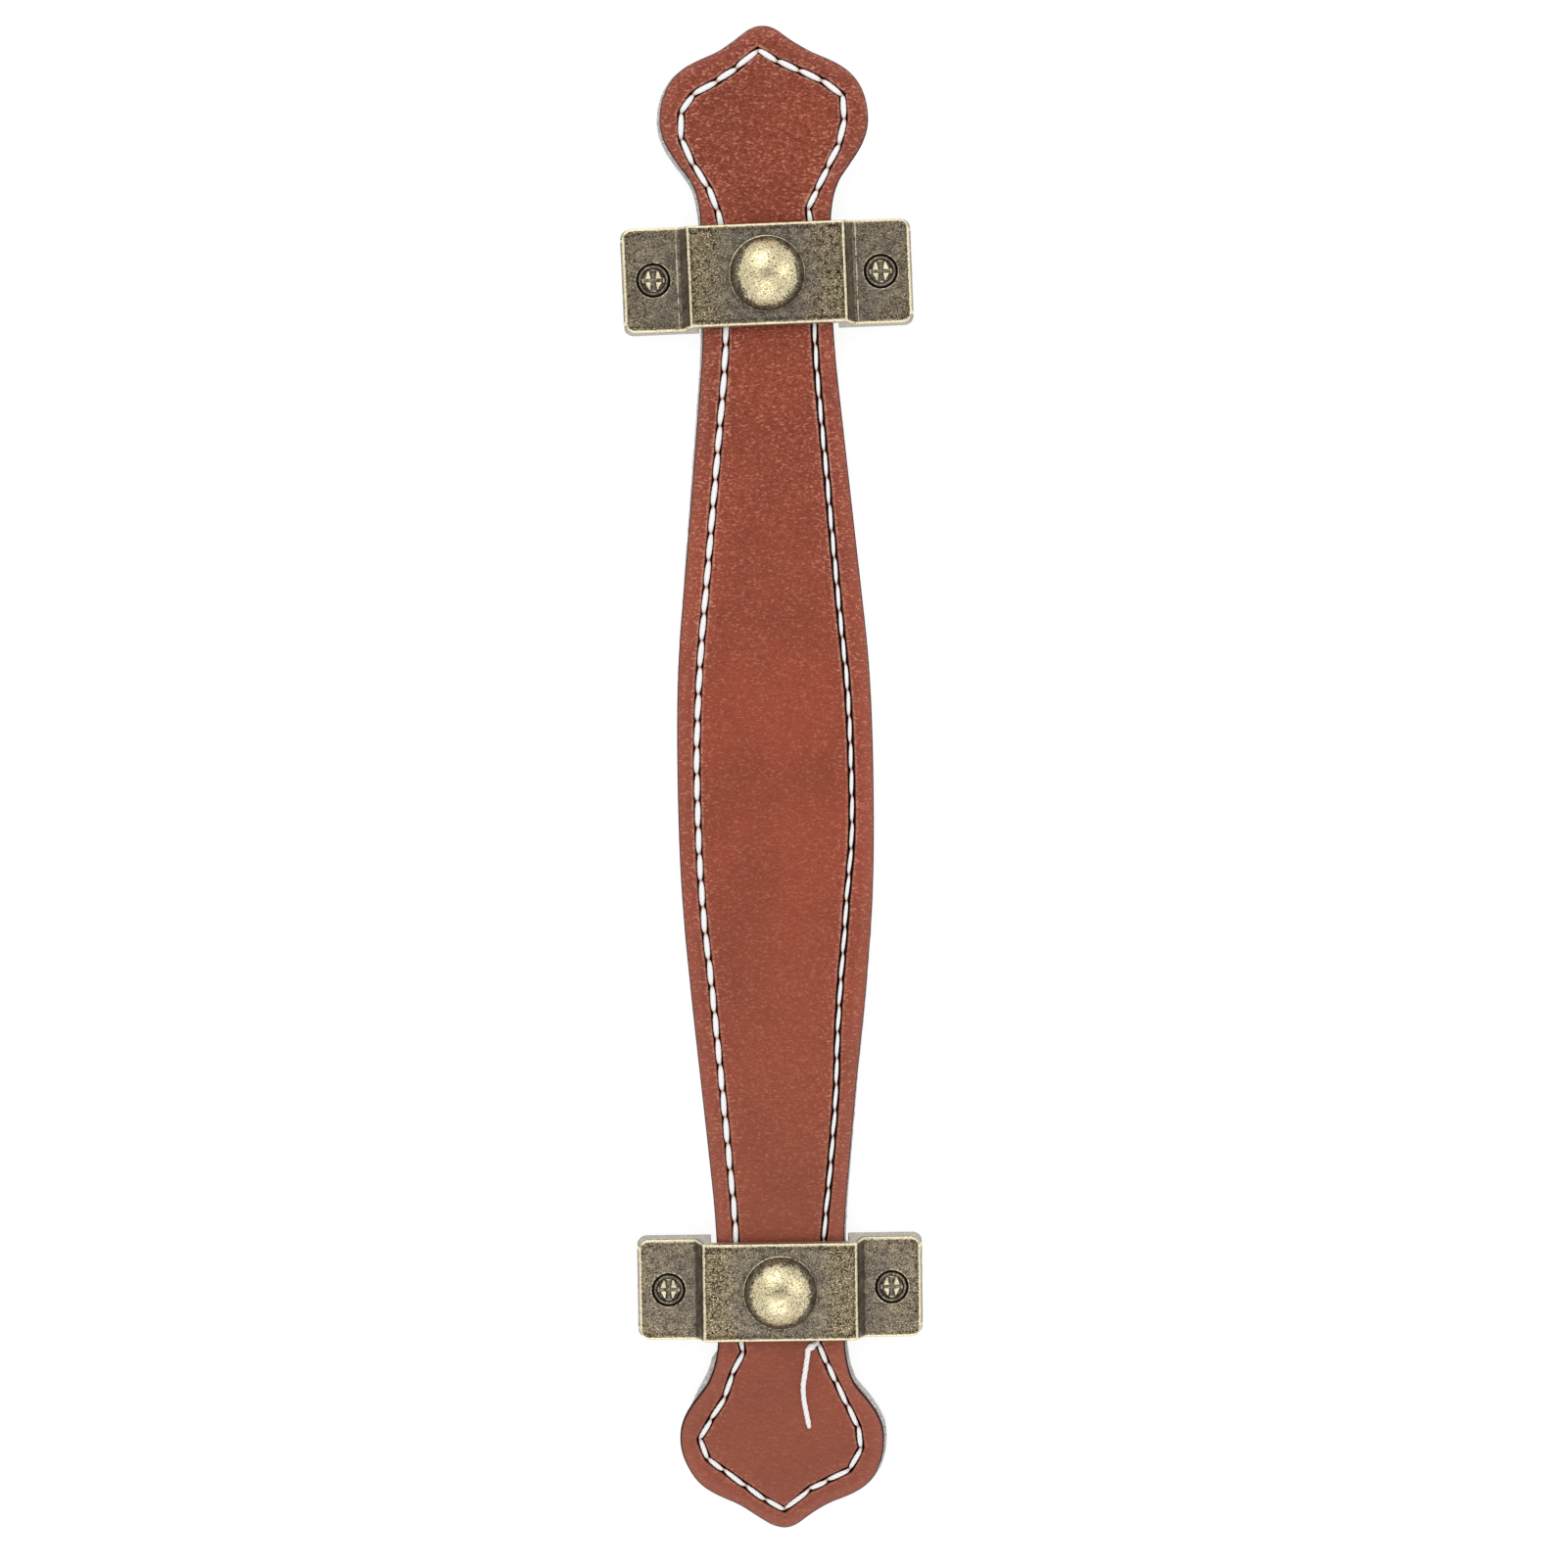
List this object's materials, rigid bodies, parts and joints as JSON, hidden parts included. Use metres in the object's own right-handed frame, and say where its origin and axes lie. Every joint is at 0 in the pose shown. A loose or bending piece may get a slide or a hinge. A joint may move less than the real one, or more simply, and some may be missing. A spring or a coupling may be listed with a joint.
{
  "type": "faux leather strap pull",
  "caption": "Stitched faux leather strap with lobed pointed ends, held flat by two antique brass brackets with domes, as a drawer or lid pull.",
  "frame": {"origin": "midway between the two brackets, on the strap's centreline, in the plane of the bracket ears' undersides", "axes": "+Y along the strap towards the upper end of the picture, +X across the strap along the brackets, +Z out of the drawer front"},
  "size_m": [0.0504, 0.26, 0.0108],
  "materials": {
    "leathercloth": "reddish-brown faux leather, fine grain, satin",
    "felted_backing": "pale grey felted backing, raw cut edge",
    "thread": "off-white twisted sewing thread",
    "antique_brass": "antique brass plating on a zinc casting, dark patina rubbed bright on edges and domes"
  },
  "bodies": {
    "root": {"strap_face": "leathercloth", "strap_backing": "felted_backing", "face_thread": "thread", "back_thread": "thread", "upper_bracket": "antique_brass", "lower_bracket": "antique_brass"}
  },
  "joints": []
}
